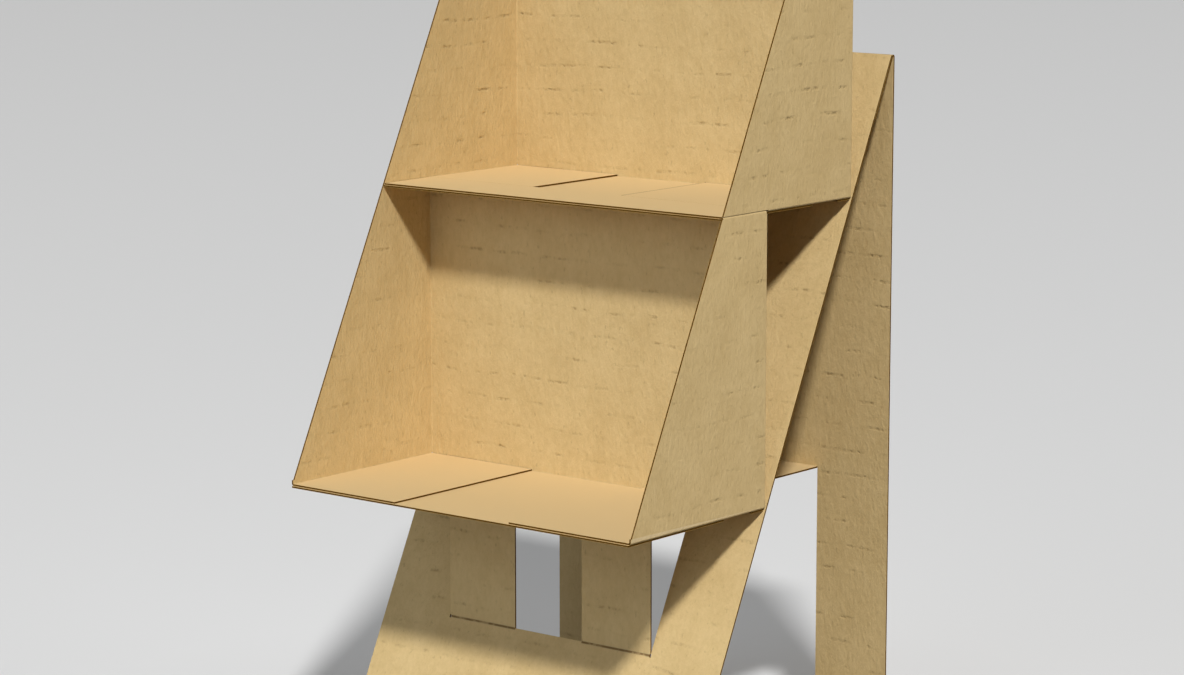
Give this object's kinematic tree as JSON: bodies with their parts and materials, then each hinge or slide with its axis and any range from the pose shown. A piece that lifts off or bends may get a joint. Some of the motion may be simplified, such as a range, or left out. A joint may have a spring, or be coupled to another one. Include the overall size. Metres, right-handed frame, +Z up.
{
  "type": "cardboard display stand",
  "caption": "Easel-backed corrugated cardboard display stand with slant-fronted open bins stacked on a leaning windowed board.",
  "frame": {"origin": "on the floor, in the middle of the stand's own width and depth", "axes": "+Z up, +X to the right of someone facing the open bins, +Y from the open front to the back"},
  "size_m": [0.4, 0.3908, 0.8073],
  "materials": {
    "board": "uncoated brown kraft liner, fine fibre, dark fluted cut edges"
  },
  "bodies": {
    "root": {"front_board": "board", "rear_strut": "board", "lower_bin": "board", "upper_bin": "board"}
  },
  "joints": []
}
